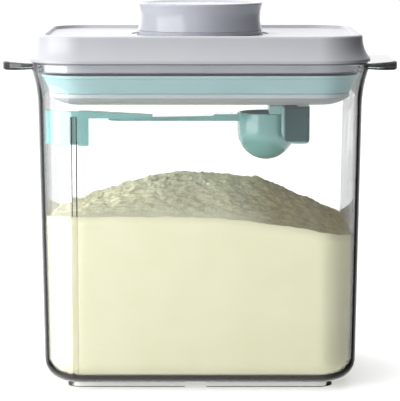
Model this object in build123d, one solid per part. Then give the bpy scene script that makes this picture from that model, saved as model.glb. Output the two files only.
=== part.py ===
"""Airtight formula dispenser: clear container, pop-up lid, hanging scoop and a snap-in leveller.

Millimetres. +X to the right, +Y to the back, +Z up; the origin is the centre of the foot's underside.
Every hoop, plate and shell shares one family of concentric rounded rectangles, and each member of
the family is named by its half-width along X.
"""
from build123d import *
import os
from math import cos, pi, radians, sin

EDGE_R = 0.4                # rounding of small moulded edges
MERGE = 0.5                 # how far one feature runs into the next, so that they fuse
SEAT_GAP = 0.02             # between parts of one body that rest on each other

# ---- Plan outline of the container at the height of its foot
PLAN_HALF_X = 72.5
PLAN_HALF_Y = 51.2
PLAN_CORNER_R = 18.0

# ---- Container
WALL = 2.1
DRAFT_GROWTH = 2.2          # how much the half-width grows from the foot to the flare
FOOT_HEIGHT = 2.6
FOOT_HALF = 62.0
FOOT_WIDTH = 2.6
FOOT_NOTCH_X = (-7.0, 3.0)
FLOOR_TOP = 5.4
BOTTOM_ROUND = 10.0
INNER_ROUND = 8.0
FLARE_START = 131.0
FLARE_END = 147.4
FLARE_OUT = 2.8
RIM_TOP = 151.0
EAR_TIP = 92.0
EAR_HALF_WIDTH = 32.0
EAR_CORNER_R = 12.0
RIB_X = -57.1
RIB_WIDTH = 3.0             # at the wall; the rib narrows inwards
RIB_TIP_WIDTH = 1.6
RIB_DEPTH = 2.5
RIB_LOW = 6.3
FRONT_RIB_TOP = 127.2
BACK_RIB_TOP = 113.9
EAR_ROOT_Z = (147.5, 150.1)
EAR_TIP_Z = (146.5, 150.95)
EAR_EDGE_R = 1.1

# ---- Leveller: a U-shaped skirt on the left end, a rib pocket, a prong and a scraping bar
SKIRT_HALF = 71.9
SKIRT_THICK = 1.8
SKIRT_LOW = 114.1
SKIRT_TOP = 129.8
SKIRT_END_X = -50.5
PRONG_END_X = -21.6
PRONG_WIDTH = 6.0
PRONG_THICK = 1.6
PRONG_BOTTOM = 126.6
BAR_X = (-62.5, -60.3)
BAR_TOP = 118.6
BAR_CHAMFER = 1.2
RIB_CLEARANCE = 0.25
RIB_REST = 0.2
POCKET_WALL = 1.2
BACK_RAIL_END_X = -56.3
SLOPE_FRONT = (-38.0, 129.8)    # Y and Z where the skirt's top edge starts to fall
SLOPE_BACK = (52.0, 116.2)      # and where it would end

# ---- Powder heap: top heights along X at the front wall, the crest and the back wall
POWDER_GAP = 0.25
RIB_SLOT_GAP = 0.35
POWDER_FRONT = ((-75, 80.6), (-40, 81.2), (10, 80.4), (40, 77.0), (75, 71.5))
POWDER_CREST = ((-75, 79.5), (-48, 87.0), (-20, 95.2), (14, 95.4), (45, 86.0), (75, 71.5))
POWDER_BACK = ((-75, 74.5), (-35, 79.5), (10, 81.5), (45, 78.0), (75, 71.0))
CREST_Y = 4.0
POWDER_CEILING = 100.0      # above every point of the heap

# ---- Lid
LIP_HALF = 78.3
LIP_BOTTOM = 151.5
LIP_TOP = 152.9
LID_EDGE_HALF = 74.7
LID_TOP = 163.8
LID_EDGE_R = 1.2
TRAY_TOP = 162.4
TRAY_HALF = 70.6
SHELL_THICK = 1.8
BOSS_X = 44.0
BOSS_Y = 29.0
BOSS_R = 3.4
PILOT_R = 1.3
PILOT_TOP = 154.0
SKIRT_WALL = 1.3

# ---- Inner lid frame: flange on the rim, neck in the mouth, basin inside the seal
FLANGE_HALF = 76.8
FLANGE_BOTTOM = 151.1
FLANGE_TOP = 152.7
NECK_HALF = 71.9
NECK_BOTTOM = 147.3
BASIN_HALF = 61.4
BASIN_BOTTOM = 140.0
BASIN_FLOOR = 142.5
FRAME_WALL = 1.5
FLOOR_BOSS_TOP = 144.5
FLOOR_BOSS_R = 4.4
SCREW_WELL_R = 2.6
SCREW_WELL_DEPTH = 2.0
PIVOT_EAR_R = 1.9
PIVOT_EAR_Y = (5.0, 7.0)
YOKE_WINDOW = (2.4, 2.5)    # half sizes of the hole that each yoke leg passes through

# ---- Seal, pressure plate and foam ring
SEAL_BOTTOM = 137.35
SEAL_TOP = 146.0
SEAL_HALF_LOW = 68.5
SEAL_HALF_TOP = 72.6
SEAL_BORE = 63.5
PLATE_HALF = 69.0
PLATE_RIM_LOW = 135.6
PLATE_RIM_TOP = 137.3
PLATE_BOTTOM = 131.6
BELLY_HALF = 57.0           # the flat part of the plate's underside
PAN_HALF = 59.4
PAN_FLOOR = 134.4
COLLAR_HALF = 63.3
COLLAR_WALL = 1.4
COLLAR_TOP = 142.5
FOAM_HALF = (71.3, 64.5)
FOAM_GAP = 0.05
PLATE_BOSS_R = 4.0
PLATE_WELL_R = 2.3
PLATE_WELL_TOP = 134.8
PLATE_PILOT_R = 1.25
SEAL_LIP = 1.1
SEAL_CHAMFER = 0.6

# ---- Button
WELL_R = 30.0
WELL_WALL = 1.6
WELL_BOTTOM = 159.4
GROOVE_R = 32.5
GROOVE_DEPTH = 0.6
BUTTON_TOP = 177.2
BUTTON_RIM_R = 29.6
BUTTON_WAIST_R = 28.5
BUTTON_BASE_R = 29.5
BUTTON_BASE_Z = 164.0
SKIRT_R = 29.2
SKIRT_INNER_R = 27.4
SKIRT_BOTTOM = 158.2
DISH_DEPTH = 0.8
CORE_TOP = 174.5
CORE_THICK = 2.5
SLEEVE_R = 6.6
SLEEVE_BOTTOM = 154.5
POST_R = 5.0
POST_TOP = 163.0
RUNNING_GAP = 0.06
KNOB_RIM_R = 0.8
KNOB_RIM_FLAT = 1.0
KNOB_FOOT = 0.3
TAB_HALF_WIDTH = 4.0
TAB_REACH = 1.2
TAB_HEIGHT = 1.5
TAB_DROP = 0.3

# ---- Return spring
SPRING_R = 8.3
SPRING_WIRE_R = 0.5
SPRING_TURNS = 8

# ---- Push-push latch
LATCH_Y = 14.0
LATCH_PIVOT_Z = 144.9
LATCH_ARM = 12.0
LATCH_WIRE_R = 0.6
LATCH_SWING = 6.0           # degrees
BUTTON_TRAVEL = 11.0
LATCH_SLOT_GAP = 0.7
LATCH_RIB_X = (-4.5, 6.5)
LATCH_RIB_HALF = 1.25
LATCH_ARM_GAP = 3.0         # from the slotted rib's middle to the wire's upright arm
LATCH_PIVOT_LENGTH = 4.0
LATCH_TIP_REACH = 1.6
BRACKET_HALF_X = 3.0
BRACKET_THICK = 2.0
BRACKET_OVER = 1.6

# ---- Rockers that lift the pressure plate
ROCKER_X = 53.0
ROCKER_Z = 151.0
ROCKER_INNER_ARM = 26.0
ROCKER_OUTER_ARM = 3.0
ROCKER_TILT = 12.0          # degrees
ROCKER_HALF_WIDTH = 4.5
ROCKER_HUB_R = 2.1
NOSE_R = 1.5
OUTER_NOSE_R = 1.1
PIN_R = 1.2
PIN_HALF_LENGTH = 7.4
ROCKER_BAR_HALF = 1.2
ROCKER_HUB_SWELL = 0.8
OUTER_BAR_HALF = 0.9
YOKE_X = (54.5, 58.3)
YOKE_BAR_X = 55.3
YOKE_Y = (8.2, 12.2)
YOKE_BAR_Z = (151.75, 154.8)
YOKE_PILOT_R = 1.15
YOKE_PILOT_DEPTH = 9.0
YOKE_SCREW = (133.0, 2.1, 1.1, 144.3)       # head's low face, head and shank radius, tip
FRAME_SCREW_HEAD_R = 2.4
FRAME_SCREW_SINK = 0.2
SCREW_HEAD = 1.7
SCREW_SLOT = (0.5, 1.6)     # width and depth of the cross recess

# ---- Scoop and its clip
SCOOP_X = 31.5
SCOOP_R = 13.8
SCOOP_WALL = 1.3
SCOOP_RIM = 125.0
SCOOP_BOTTOM = 102.4
HOOK_R = 15.2
HOOK_X = 39.0
HANDLE_TIP_X = -43.8
HANDLE_HALF_WIDTH = 5.5
HANDLE_BOTTOM = 121.1
HANDLE_TIP_TOP = 122.8
HANDLE_STEP = ((5.9, 123.6), (7.0, 124.4))
LIP_THICK = 1.3
CLIP_X = (38.3, 51.6)
CLIP_ROOT_X = 32.6
CLIP_HALF_Y = 16.5
CLIP_WALL = 1.8
CLIP_BOTTOM = 111.3
CLIP_TOP = 128.9
CLIP_ROOT_TOP = 133.2
CLIP_ROUND = 6.0
CLIP_HEEL_R = 2.0
CLIP_EDGE_R = 1.5
CLIP_END_LOW = 118.0
CLIP_WEB_GAP = 0.15
CLIP_LEDGE_GAP = 0.35
CLIP_NECK_HALF_Y = 14.0
CLIP_ROOT = (46.0, 12.0)    # the root block's far X and half-width
LEDGE_Z = (122.2, 123.55)


def box(x, y, z):
    """A block between two X, two Y and two Z values."""
    size = (x[1] - x[0], y[1] - y[0], z[1] - z[0])
    return Pos((x[0] + x[1]) / 2, (y[0] + y[1]) / 2, (z[0] + z[1]) / 2) * Box(*size)


def rod(radius, low, high, x=0.0, y=0.0):
    """An upright cylinder."""
    return Pos(x, y, (low + high) / 2) * Cylinder(radius, high - low)


def tube(outer, inner, low, high, x=0.0, y=0.0):
    """An upright tube."""
    return rod(outer, low, high, x, y) - rod(inner, low, high, x, y)


def cross_rod(radius, x, y, z):
    """A cylinder along Y between two Y values."""
    return Pos(x, (y[0] + y[1]) / 2, z) * Rot(90, 0, 0) * Cylinder(radius, y[1] - y[0])


def plan(half_x, z=0.0):
    """The rounded rectangle of the family with this half-width, at this height."""
    grow = half_x - PLAN_HALF_X
    return Pos(0, 0, z) * RectangleRounded(2 * half_x, 2 * (PLAN_HALF_Y + grow), PLAN_CORNER_R + grow)


def slab(half_x, low, high):
    return extrude(plan(half_x, low), amount=high - low)


def band(outer, inner, low, high):
    return slab(outer, low, high) - slab(inner, low, high)


def level_edges(part, z):
    """The part's edges that lie flat at one height."""
    near = 0.01
    return part.edges().filter_by(
        lambda edge: edge.bounding_box().size.Z < near and abs(edge.center().Z - z) < near)


def upright(points):
    """A straight-sided face in the XZ plane."""
    return Plane.XZ * make_face(Polyline(*points, close=True))


def side_plate(points, y):
    """A straight-sided XZ outline carried from one Y value to another."""
    return Pos(0, y[1], 0) * extrude(upright(points), amount=y[1] - y[0])


def hoop(section):
    """Carry a section, drawn with X as the half-width, round the plan outline."""
    straight_x = PLAN_HALF_X - PLAN_CORNER_R
    straight_y = PLAN_HALF_Y - PLAN_CORNER_R
    corner = Pos(straight_x, straight_y) * revolve(Pos(-straight_x, 0) * section, Axis.Z, 90)
    side = Pos(0, straight_y) * extrude(section, amount=2 * straight_y)
    turned = Rot(0, 0, 90) * Pos(PLAN_HALF_Y - PLAN_HALF_X, 0) * section
    end = Pos(-straight_x, 0) * extrude(turned, amount=2 * straight_x)
    half = side + corner + mirror(corner, Plane.XZ) + end
    return half + Rot(0, 0, 180) * half


def wall_half(z):
    """Half-width of the container's outer wall below the flare."""
    return PLAN_HALF_X + DRAFT_GROWTH * z / FLARE_START


def quarter(start, end, bulge):
    """A quarter-circle from start to end, whose middle lies towards the bulge corner."""
    middle = tuple(b + (s + e - 2 * b) * (1 - cos(pi / 4)) for s, e, b in zip(start, end, bulge))
    return ThreePointArc(start, middle, end)


def container_section():
    outer_low = wall_half(FOOT_HEIGHT + BOTTOM_ROUND)
    inner_low = wall_half(FLOOR_TOP + INNER_ROUND) - WALL
    outer_flare = wall_half(FLARE_START)
    rim_out = outer_flare + FLARE_OUT
    edge_x = PLAN_HALF_X - PLAN_CORNER_R + 3.5
    lip = 0.6
    path = [
        Line((edge_x, FOOT_HEIGHT), (outer_low - BOTTOM_ROUND, FOOT_HEIGHT)),
        quarter((outer_low - BOTTOM_ROUND, FOOT_HEIGHT), (outer_low, FOOT_HEIGHT + BOTTOM_ROUND),
                (outer_low, FOOT_HEIGHT)),
        Line((outer_low, FOOT_HEIGHT + BOTTOM_ROUND), (outer_flare, FLARE_START)),
        TangentArc((outer_flare, FLARE_START), (rim_out, FLARE_END), tangent=(DRAFT_GROWTH, FLARE_START)),
        Line((rim_out, FLARE_END), (rim_out, RIM_TOP - lip)),
        quarter((rim_out, RIM_TOP - lip), (rim_out - lip, RIM_TOP), (rim_out, RIM_TOP)),
        Line((rim_out - lip, RIM_TOP), (rim_out - WALL + lip, RIM_TOP)),
        quarter((rim_out - WALL + lip, RIM_TOP), (rim_out - WALL, RIM_TOP - lip), (rim_out - WALL, RIM_TOP)),
        Line((rim_out - WALL, RIM_TOP - lip), (rim_out - WALL, FLARE_END)),
        TangentArc((outer_flare - WALL, FLARE_START), (rim_out - WALL, FLARE_END),
                   tangent=(DRAFT_GROWTH, FLARE_START)),
        Line((outer_flare - WALL, FLARE_START), (inner_low, FLOOR_TOP + INNER_ROUND)),
        quarter((inner_low, FLOOR_TOP + INNER_ROUND), (inner_low - INNER_ROUND, FLOOR_TOP),
                (inner_low, FLOOR_TOP)),
        Line((inner_low - INNER_ROUND, FLOOR_TOP), (edge_x, FLOOR_TOP)),
        Line((edge_x, FLOOR_TOP), (edge_x, FOOT_HEIGHT)),
    ]
    return Plane.XZ * make_face(path), edge_x


def ear():
    """The lifting ear on the right end: a wedge that thickens towards its rounded tip."""
    root_x = wall_half(FLARE_START) + FLARE_OUT - WALL / 2
    wedge = side_plate([(root_x, EAR_ROOT_Z[0]), (EAR_TIP, EAR_TIP_Z[0]), (EAR_TIP, EAR_TIP_Z[1]),
                        (root_x, EAR_ROOT_Z[1])], (-EAR_HALF_WIDTH, EAR_HALF_WIDTH))
    tip_corners = wedge.edges().filter_by(Axis.Z).group_by(Axis.X)[-1]
    wedge = fillet(tip_corners, EAR_CORNER_R)
    faces = wedge.faces().filter_by(lambda face: abs(face.normal_at().Z) > 0.9)
    edges = faces.edges().filter_by(lambda edge: edge.center().X > root_x + 0.1)
    return fillet(edges, EAR_EDGE_R)


def rib_tip(z):
    """Distance of the rib's inner edge from the middle; it follows the wall's draft."""
    return PLAN_HALF_Y - WALL - RIB_DEPTH + DRAFT_GROWTH * (z - RIB_LOW) / FLARE_START


def rib(top):
    """The tapered rib inside the front wall that carries the leveller."""
    def cut(z):
        tip = rib_tip(z)
        root = tip + RIB_DEPTH + WALL / 2
        return Pos(RIB_X, 0, z) * make_face(Polyline(
            (-RIB_TIP_WIDTH / 2, -tip), (-RIB_WIDTH / 2, -root), (RIB_WIDTH / 2, -root),
            (RIB_TIP_WIDTH / 2, -tip), close=True))

    return loft([cut(RIB_LOW), cut(top)])


def container_body():
    section, edge_x = container_section()
    body = hoop(section) + slab(edge_x + MERGE, FOOT_HEIGHT, FLOOR_TOP)
    foot = band(FOOT_HALF, FOOT_HALF - FOOT_WIDTH, 0, FOOT_HEIGHT + MERGE)
    foot -= box(FOOT_NOTCH_X, (-PLAN_HALF_Y, PLAN_HALF_Y), (-1, FOOT_HEIGHT))
    handle = ear()
    ribs = rib(FRONT_RIB_TOP) + mirror(rib(BACK_RIB_TOP), Plane.XZ)
    return body + foot + handle + mirror(handle, Plane.YZ) + ribs


def leveler():
    """The skirt stands on the ribs: the front one fills its pocket, the back one ends under its rail."""
    outside_y = PLAN_HALF_Y + SKIRT_HALF - PLAN_HALF_X
    skirt = band(SKIRT_HALF, SKIRT_HALF - SKIRT_THICK, SKIRT_LOW, SKIRT_TOP)
    skirt -= box((SKIRT_END_X, 2 * PLAN_HALF_X), (-PLAN_HALF_X, PLAN_HALF_X), (0, RIM_TOP))
    skirt -= box((BACK_RAIL_END_X, 2 * PLAN_HALF_X), (0, PLAN_HALF_X), (0, RIM_TOP))
    slot_half = RIB_WIDTH / 2 + RIB_CLEARANCE
    slot_end = RIB_CLEARANCE - rib_tip(SKIRT_LOW)
    slot = box((RIB_X - slot_half, RIB_X + slot_half), (-PLAN_HALF_Y, slot_end),
               (SKIRT_LOW - 1, FRONT_RIB_TOP + RIB_REST))
    pocket_half = slot_half + POCKET_WALL
    pocket_y = (SKIRT_THICK / 2 - outside_y, slot_end + POCKET_WALL)
    pocket = box((RIB_X - pocket_half, RIB_X + pocket_half), pocket_y, (SKIRT_LOW + EDGE_R, SKIRT_TOP - EDGE_R))
    prong_root = RIB_X + slot_half
    prong = side_plate([(prong_root, PRONG_BOTTOM), (PRONG_END_X, PRONG_BOTTOM),
                        (PRONG_END_X, PRONG_BOTTOM + PRONG_THICK), (SKIRT_END_X, SKIRT_TOP),
                        (prong_root, SKIRT_TOP)], (-outside_y, PRONG_WIDTH - outside_y))
    bar_y = outside_y - SKIRT_THICK / 2
    bar = side_plate([(BAR_X[0], SKIRT_LOW), (BAR_X[1], SKIRT_LOW), (BAR_X[1], BAR_TOP - BAR_CHAMFER),
                      (BAR_X[1] - BAR_CHAMFER, BAR_TOP), (BAR_X[0], BAR_TOP)], (-bar_y, bar_y))
    bar &= slab(SKIRT_HALF - SKIRT_THICK / 2, SKIRT_LOW, SKIRT_TOP)
    above = Polyline(SLOPE_FRONT, SLOPE_BACK, (SLOPE_BACK[0], RIM_TOP), (SLOPE_FRONT[0], RIM_TOP), close=True)
    cutaway = extrude(Plane.YZ * make_face(above), amount=PLAN_HALF_X + WALL, both=True)
    piece = skirt + prong + bar - slot
    piece = fillet(level_edges(piece, SKIRT_TOP), EDGE_R)
    piece = fillet(level_edges(piece, SKIRT_LOW), EDGE_R)
    return piece + (pocket - slot) - cutaway


def milk_powder():
    """Powder that fills the lower half, with a heaped top."""
    bottom = FLOOR_TOP + POWDER_GAP

    def cut(tops, y):
        crest = Spline(*tops)
        low_left = (tops[0][0], bottom)
        low_right = (tops[-1][0], bottom)
        edges = [crest, Line(low_right, tops[-1]), Line(low_left, low_right), Line(low_left, tops[0])]
        return Pos(0, y, 0) * (Plane.XZ * make_face(edges))

    heap = loft([cut(POWDER_FRONT, -PLAN_HALF_Y), cut(POWDER_CREST, CREST_Y), cut(POWDER_BACK, PLAN_HALF_Y)])
    core_half = wall_half(bottom) - WALL - INNER_ROUND - 2
    wall_low = wall_half(bottom + INNER_ROUND) - WALL - POWDER_GAP
    wall_high = wall_half(POWDER_CEILING) - WALL - POWDER_GAP
    inside = hoop(Plane.XZ * make_face([
        Line((core_half, bottom), (wall_low - INNER_ROUND, bottom)),
        quarter((wall_low - INNER_ROUND, bottom), (wall_low, bottom + INNER_ROUND), (wall_low, bottom)),
        Line((wall_low, bottom + INNER_ROUND), (wall_high, POWDER_CEILING)),
        Line((wall_high, POWDER_CEILING), (core_half, POWDER_CEILING)),
        Line((core_half, POWDER_CEILING), (core_half, bottom)),
    ])) + slab(core_half + MERGE, bottom, POWDER_CEILING)
    rib_half = RIB_WIDTH / 2 + RIB_SLOT_GAP
    rib_slot = box((RIB_X - rib_half, RIB_X + rib_half),
                   (PLAN_HALF_Y - WALL - RIB_DEPTH - RIB_SLOT_GAP, PLAN_HALF_X), (0, POWDER_CEILING))
    return (heap & inside) - rib_slot - mirror(rib_slot, Plane.XZ)


def lid_shell():
    skirt_in = LIP_HALF - SKIRT_WALL
    slope = 0.6
    underside = TRAY_TOP - SHELL_THICK
    inner_top = (LID_EDGE_HALF - SHELL_THICK, underside - slope)
    center_edge = 60.0
    edge_low = (LID_EDGE_HALF, LID_TOP - LID_EDGE_R)
    skirt = hoop(Plane.XZ * make_face([
        Line((skirt_in, LIP_BOTTOM), (LIP_HALF - EDGE_R, LIP_BOTTOM)),
        quarter((LIP_HALF - EDGE_R, LIP_BOTTOM), (LIP_HALF, LIP_BOTTOM + EDGE_R), (LIP_HALF, LIP_BOTTOM)),
        Line((LIP_HALF, LIP_BOTTOM + EDGE_R), (LIP_HALF, LIP_TOP)),
        TangentArc(edge_low, (LIP_HALF, LIP_TOP), tangent=(0, -1)),
        quarter(edge_low, (LID_EDGE_HALF - LID_EDGE_R, LID_TOP), (LID_EDGE_HALF, LID_TOP)),
        Line((LID_EDGE_HALF - LID_EDGE_R, LID_TOP), (TRAY_HALF + slope, LID_TOP)),
        Line((TRAY_HALF + slope, LID_TOP), (TRAY_HALF, TRAY_TOP)),
        Line((TRAY_HALF, TRAY_TOP), (center_edge, TRAY_TOP)),
        Line((center_edge, TRAY_TOP), (center_edge, underside)),
        Line((center_edge, underside), (inner_top[0] - slope, underside)),
        Line((inner_top[0] - slope, underside), inner_top),
        TangentArc(inner_top, (skirt_in, LIP_TOP), tangent=(0, -1)),
        Line((skirt_in, LIP_TOP), (skirt_in, LIP_BOTTOM)),
    ]))
    shell = skirt + slab(center_edge + MERGE, underside, TRAY_TOP)
    shell += rod(WELL_R + WELL_WALL, WELL_BOTTOM, underside + MERGE)
    shell -= rod(GROOVE_R, TRAY_TOP - GROOVE_DEPTH, TRAY_TOP + 1)
    shell -= rod(WELL_R, WELL_BOTTOM - 1, TRAY_TOP + 1)
    for x, y in boss_places():
        shell += rod(BOSS_R, FLOOR_BOSS_TOP + 0.05, underside + MERGE, x, y)
        shell -= rod(PILOT_R, FLOOR_BOSS_TOP, PILOT_TOP, x, y)
    return shell


def boss_places():
    return [(x, y) for x in (-BOSS_X, BOSS_X) for y in (-BOSS_Y, BOSS_Y)]


def yoke_screw_places():
    x = (YOKE_X[0] + YOKE_X[1]) / 2
    y = (YOKE_Y[0] + YOKE_Y[1]) / 2
    return [(sx * x, sy * y) for sx in (-1, 1) for sy in (-1, 1)]


def screw(x, y, head_bottom, head_r, shank_r, top):
    """A pan-head screw that points up; its head is a low cylinder with a cross recess."""
    body = rod(head_r, head_bottom, head_bottom + SCREW_HEAD, x, y)
    body += rod(shank_r, head_bottom + SCREW_HEAD, top, x, y)
    for turn in (0, 90):
        body -= Pos(x, y, head_bottom) * Rot(0, 0, turn) * Box(head_r * 1.2, *SCREW_SLOT)
    return body


def lid_frame():
    wall = hoop(upright([
        (FLANGE_HALF, FLANGE_BOTTOM), (FLANGE_HALF, FLANGE_TOP), (NECK_HALF - FRAME_WALL, FLANGE_TOP),
        (NECK_HALF - FRAME_WALL, NECK_BOTTOM + FRAME_WALL),
        (BASIN_HALF - FRAME_WALL, NECK_BOTTOM + FRAME_WALL), (BASIN_HALF - FRAME_WALL, BASIN_BOTTOM),
        (BASIN_HALF, BASIN_BOTTOM), (BASIN_HALF, NECK_BOTTOM), (NECK_HALF, NECK_BOTTOM),
        (NECK_HALF, FLANGE_BOTTOM),
    ]))
    frame = wall + slab(BASIN_HALF - MERGE, BASIN_BOTTOM, BASIN_FLOOR)
    frame += rod(POST_R, BASIN_FLOOR - MERGE, POST_TOP)
    for x in (-ROCKER_X, ROCKER_X):
        for y in (PIVOT_EAR_Y, (-PIVOT_EAR_Y[1], -PIVOT_EAR_Y[0])):
            frame += box((x - PIVOT_EAR_R, x + PIVOT_EAR_R), y, (BASIN_FLOOR - MERGE, ROCKER_Z))
            frame += cross_rod(PIVOT_EAR_R, x, y, ROCKER_Z)
            frame -= cross_rod(PIN_R + SEAT_GAP, x, y, ROCKER_Z)
    for x, y in yoke_screw_places():
        frame -= box((x - YOKE_WINDOW[0], x + YOKE_WINDOW[0]), (y - YOKE_WINDOW[1], y + YOKE_WINDOW[1]),
                     (BASIN_BOTTOM - 1, BASIN_FLOOR + 1))
    for x, y in boss_places():
        frame += rod(FLOOR_BOSS_R, BASIN_FLOOR - MERGE, FLOOR_BOSS_TOP, x, y)
        frame -= rod(SCREW_WELL_R, BASIN_BOTTOM - 1, BASIN_BOTTOM + SCREW_WELL_DEPTH, x, y)
        frame -= rod(PILOT_R + 0.2, BASIN_BOTTOM, FLOOR_BOSS_TOP + 1, x, y)
    return frame


def pressure_plate():
    inner = BELLY_HALF - MERGE
    edge = hoop(Plane.XZ * make_face([
        TangentArc((BELLY_HALF, PLATE_BOTTOM), (PLATE_HALF, PLATE_RIM_LOW), tangent=(1, 0)),
        Line((PLATE_HALF, PLATE_RIM_LOW), (PLATE_HALF, PLATE_RIM_TOP)),
        Line((PLATE_HALF, PLATE_RIM_TOP), (inner, PLATE_RIM_TOP)),
        Line((inner, PLATE_RIM_TOP), (inner, PLATE_BOTTOM)),
        Line((inner, PLATE_BOTTOM), (BELLY_HALF, PLATE_BOTTOM)),
    ]))
    plate = edge + slab(inner + 0.2, PLATE_BOTTOM, PLATE_RIM_TOP)
    plate -= slab(PAN_HALF, PAN_FLOOR, PLATE_RIM_TOP + 1)
    plate += band(COLLAR_HALF, COLLAR_HALF - COLLAR_WALL, PLATE_RIM_TOP - MERGE, COLLAR_TOP)
    below = PLATE_BOTTOM - 1
    for x, y in yoke_screw_places():
        plate += rod(PLATE_BOSS_R, PAN_FLOOR - MERGE, PLATE_RIM_TOP, x, y)
        plate -= rod(PLATE_WELL_R, below, PLATE_WELL_TOP, x, y)
        plate -= rod(PLATE_PILOT_R, below, PLATE_RIM_TOP + 1, x, y)
    return plate


def seal_gasket():
    """A flared silicone ring with a square lip round its top."""
    return hoop(upright([
        (SEAL_BORE, SEAL_BOTTOM), (SEAL_HALF_LOW, SEAL_BOTTOM),
        (SEAL_HALF_LOW + SEAL_CHAMFER, SEAL_BOTTOM + SEAL_CHAMFER),
        (SEAL_HALF_TOP - SEAL_CHAMFER, SEAL_TOP - SEAL_LIP - SEAL_CHAMFER),
        (SEAL_HALF_TOP, SEAL_TOP - SEAL_LIP), (SEAL_HALF_TOP, SEAL_TOP), (SEAL_BORE, SEAL_TOP),
    ]))


def lift_yoke(side):
    """An inverted U on the pressure plate; its bar sits over a rocker's short arm."""
    leg_x = sorted((side * YOKE_X[0], side * YOKE_X[1]))
    bar_x = sorted((side * YOKE_BAR_X, side * YOKE_X[1]))
    low = PLATE_RIM_TOP + SEAT_GAP
    yoke = box(bar_x, (-YOKE_Y[1], YOKE_Y[1]), YOKE_BAR_Z)
    for y in ((-YOKE_Y[1], -YOKE_Y[0]), YOKE_Y):
        yoke += box(leg_x, y, (low, YOKE_BAR_Z[1]))
    for x, y in yoke_screw_places():
        if x * side > 0:
            yoke -= rod(YOKE_PILOT_R, low - 1, low + YOKE_PILOT_DEPTH, x, y)
    return yoke


def rocker(side):
    """A lever whose long arm reaches under the button and whose short arm lifts the yoke."""
    long_end = -ROCKER_INNER_ARM
    hub_half = ROCKER_BAR_HALF + ROCKER_HUB_SWELL
    width = (-ROCKER_HALF_WIDTH, ROCKER_HALF_WIDTH)
    bar = side_plate([(long_end, -ROCKER_BAR_HALF), (0, -hub_half), (ROCKER_OUTER_ARM, -OUTER_BAR_HALF),
                      (ROCKER_OUTER_ARM, OUTER_BAR_HALF), (0, hub_half), (long_end, ROCKER_BAR_HALF)], width)
    lever = bar + cross_rod(NOSE_R, long_end, width, 0) + cross_rod(ROCKER_HUB_R, 0, width, 0)
    lever += cross_rod(OUTER_NOSE_R, ROCKER_OUTER_ARM, width, 0)
    lever -= cross_rod(PIN_R + RUNNING_GAP, 0, (-ROCKER_HALF_WIDTH - 1, ROCKER_HALF_WIDTH + 1), 0)
    placed = Pos(ROCKER_X, 0, ROCKER_Z) * Rot(0, ROCKER_TILT, 0) * lever
    return placed if side > 0 else mirror(placed, Plane.YZ)


def rocker_pin(side):
    return cross_rod(PIN_R, side * ROCKER_X, (-PIN_HALF_LENGTH, PIN_HALF_LENGTH), ROCKER_Z)


def button_shell():
    """The round knob: hourglass side, dished top, and a skirt that runs in the lid's well."""
    dish_z = BUTTON_TOP - DISH_DEPTH
    dish_r = SKIRT_INNER_R - 2
    rim_flat_r = BUTTON_RIM_R - KNOB_RIM_R - KNOB_RIM_FLAT
    foot_z = BUTTON_BASE_Z + KNOB_FOOT
    side = [
        Line((0, dish_z), (dish_r, dish_z)),
        Line((dish_r, dish_z), (rim_flat_r, BUTTON_TOP)),
        Line((rim_flat_r, BUTTON_TOP), (BUTTON_RIM_R - KNOB_RIM_R, BUTTON_TOP)),
        quarter((BUTTON_RIM_R - KNOB_RIM_R, BUTTON_TOP), (BUTTON_RIM_R, BUTTON_TOP - KNOB_RIM_R),
                (BUTTON_RIM_R, BUTTON_TOP)),
        ThreePointArc((BUTTON_RIM_R, BUTTON_TOP - KNOB_RIM_R),
                      (BUTTON_WAIST_R, (BUTTON_TOP + BUTTON_BASE_Z) / 2), (BUTTON_BASE_R, foot_z)),
        Line((BUTTON_BASE_R, foot_z), (SKIRT_R, BUTTON_BASE_Z)),
        Line((SKIRT_R, BUTTON_BASE_Z), (SKIRT_R, SKIRT_BOTTOM)),
        Line((SKIRT_R, SKIRT_BOTTOM), (SKIRT_INNER_R, SKIRT_BOTTOM)),
        Line((SKIRT_INNER_R, SKIRT_BOTTOM), (SKIRT_INNER_R, CORE_TOP)),
        Line((SKIRT_INNER_R, CORE_TOP), (0, CORE_TOP)),
        Line((0, CORE_TOP), (0, dish_z)),
    ]
    knob = revolve(Plane.XZ * make_face(side), Axis.Z)
    tab_top = WELL_BOTTOM - TAB_DROP
    tab_z = (tab_top - TAB_HEIGHT, tab_top)
    for turn in (0, 180):
        tab = box((-TAB_HALF_WIDTH, TAB_HALF_WIDTH), (SKIRT_R - 1, WELL_R + TAB_REACH), tab_z)
        knob += Rot(0, 0, turn) * tab
    return knob


def button_core():
    """The carrier under the knob's top: guide sleeve and latch rib."""
    underside = CORE_TOP - CORE_THICK
    core = rod(SKIRT_INNER_R - 0.1, underside, CORE_TOP - 0.05)
    core += rod(SLEEVE_R, SLEEVE_BOTTOM, underside + MERGE)
    core += box(LATCH_RIB_X, (LATCH_Y - LATCH_RIB_HALF, LATCH_Y + LATCH_RIB_HALF),
                (SLEEVE_BOTTOM + 0.2, underside + MERGE))
    core -= rod(POST_R + RUNNING_GAP, SLEEVE_BOTTOM - 1, CORE_TOP + 1)
    tip_z = LATCH_PIVOT_Z + LATCH_ARM
    swing = LATCH_ARM * sin(radians(LATCH_SWING))
    half = LATCH_WIRE_R + LATCH_SLOT_GAP
    low, high = tip_z - half, tip_z + BUTTON_TRAVEL + half
    through = 2 * LATCH_RIB_HALF
    slant = swing / BUTTON_TRAVEL
    slot = side_plate([(-half - slant * half, low), (half - slant * half, low),
                       (half + slant * (BUTTON_TRAVEL + half), high),
                       (-half + slant * (BUTTON_TRAVEL + half), high)],
                      (LATCH_Y - through, LATCH_Y + through))
    return core - slot


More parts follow.
